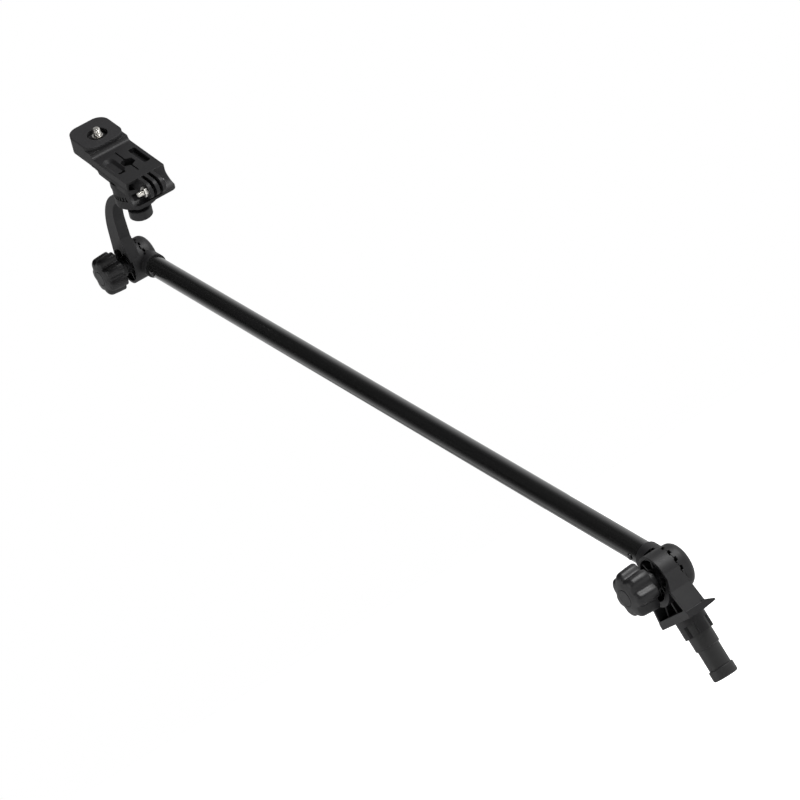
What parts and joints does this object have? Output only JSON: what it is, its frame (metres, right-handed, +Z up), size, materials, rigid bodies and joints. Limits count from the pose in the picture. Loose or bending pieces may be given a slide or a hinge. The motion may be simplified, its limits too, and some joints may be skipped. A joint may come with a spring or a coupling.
{
  "type": "camera_boom_arm",
  "caption": "Camera boom arm: a straight black tube between two knob-locked tilt joints, a spigot at its foot and a panning camera platform on a curved arm.",
  "frame": {"origin": "on the spigot axis inside its full-size part, 19.6 mm below the underside of the flange", "axes": "+Z up the spigot axis away from the spigot, +Y towards the two star knobs, the boom leans towards +X"},
  "size_m": [0.6456, 0.0563, 0.6488],
  "materials": {
    "nylon": "fine moulded texture, matte black",
    "nylon_turned": "smooth matte black with fine turning marks",
    "knob_nylon": "satin moulded black",
    "pad_rubber": "dull rubber, dark grey",
    "tube_black": "gloss black anodised tube",
    "rivet_black": "black oxide",
    "bright_steel": "bright plated steel",
    "steel": "plain zinc-plated steel",
    "brass": "machined brass insert"
  },
  "bodies": {
    "base": {"base_bracket": "nylon", "spigot": "nylon_turned", "spigot_end_cap": "nylon_turned", "spigot_screw": "steel", "lower_knob_washer": "steel"},
    "boom": {"boom_tube": "tube_black", "lower_hub": "nylon", "upper_hub": "nylon", "lower_rivet": "rivet_black", "upper_rivet": "rivet_black", "lower_pivot_bolt": "steel", "upper_pivot_bolt": "steel"},
    "lower_knob": {"lower_knob": "knob_nylon", "lower_knob_cap": "knob_nylon", "lower_knob_nut": "brass"},
    "upper_knob": {"upper_knob": "knob_nylon", "upper_knob_cap": "knob_nylon", "upper_knob_nut": "brass"},
    "arm": {"curved_arm": "nylon", "upper_knob_washer": "steel", "pan_washer": "steel"},
    "platform": {"camera_platform": "nylon", "camera_pad": "pad_rubber", "pan_ring": "nylon", "pan_bolt": "rivet_black", "stud_clip": "bright_steel", "action_nut": "bright_steel"},
    "pan_knob": {"pan_knob": "knob_nylon", "pan_knob_nut": "brass"},
    "camera_stud": {"camera_stud": "bright_steel"},
    "action_screw": {"action_screw": "bright_steel"}
  },
  "joints": [
    {"name": "base_tilt", "type": "hinge", "parent": "base", "child": "boom", "pos_m": [0, 0, 0.0542], "axis": [0, 1, 0], "range_deg": [-136, 30]},
    {"name": "lower_knob_spin", "type": "hinge", "parent": "boom", "child": "lower_knob", "pos_m": [0, 0, 0.0542], "axis": [0, 1, 0], "continuous": true},
    {"name": "upper_knob_spin", "type": "hinge", "parent": "boom", "child": "upper_knob", "pos_m": [0.60215, 0, 0.50467], "axis": [0, 1, 0], "continuous": true},
    {"name": "arm_tilt", "type": "hinge", "parent": "boom", "child": "arm", "pos_m": [0.60215, 0, 0.50467], "axis": [0, 1, 0], "range_deg": [-24, 190]},
    {"name": "platform_pan", "type": "hinge", "parent": "arm", "child": "platform", "pos_m": [0.48656, 0, 0.56541], "axis": [-0.6984, 0, 0.7157], "continuous": true},
    {"name": "pan_knob_spin", "type": "hinge", "parent": "platform", "child": "pan_knob", "pos_m": [0.48656, 0, 0.56541], "axis": [-0.6984, 0, 0.7157], "continuous": true},
    {"name": "stud_spin", "type": "hinge", "parent": "platform", "child": "camera_stud", "pos_m": [0.51949, 0, 0.59754], "axis": [-0.6984, 0, 0.7157], "continuous": true},
    {"name": "action_screw_spin", "type": "hinge", "parent": "platform", "child": "action_screw", "pos_m": [0.46446, 0, 0.53336], "axis": [0, 1, 0], "continuous": true}
  ]
}
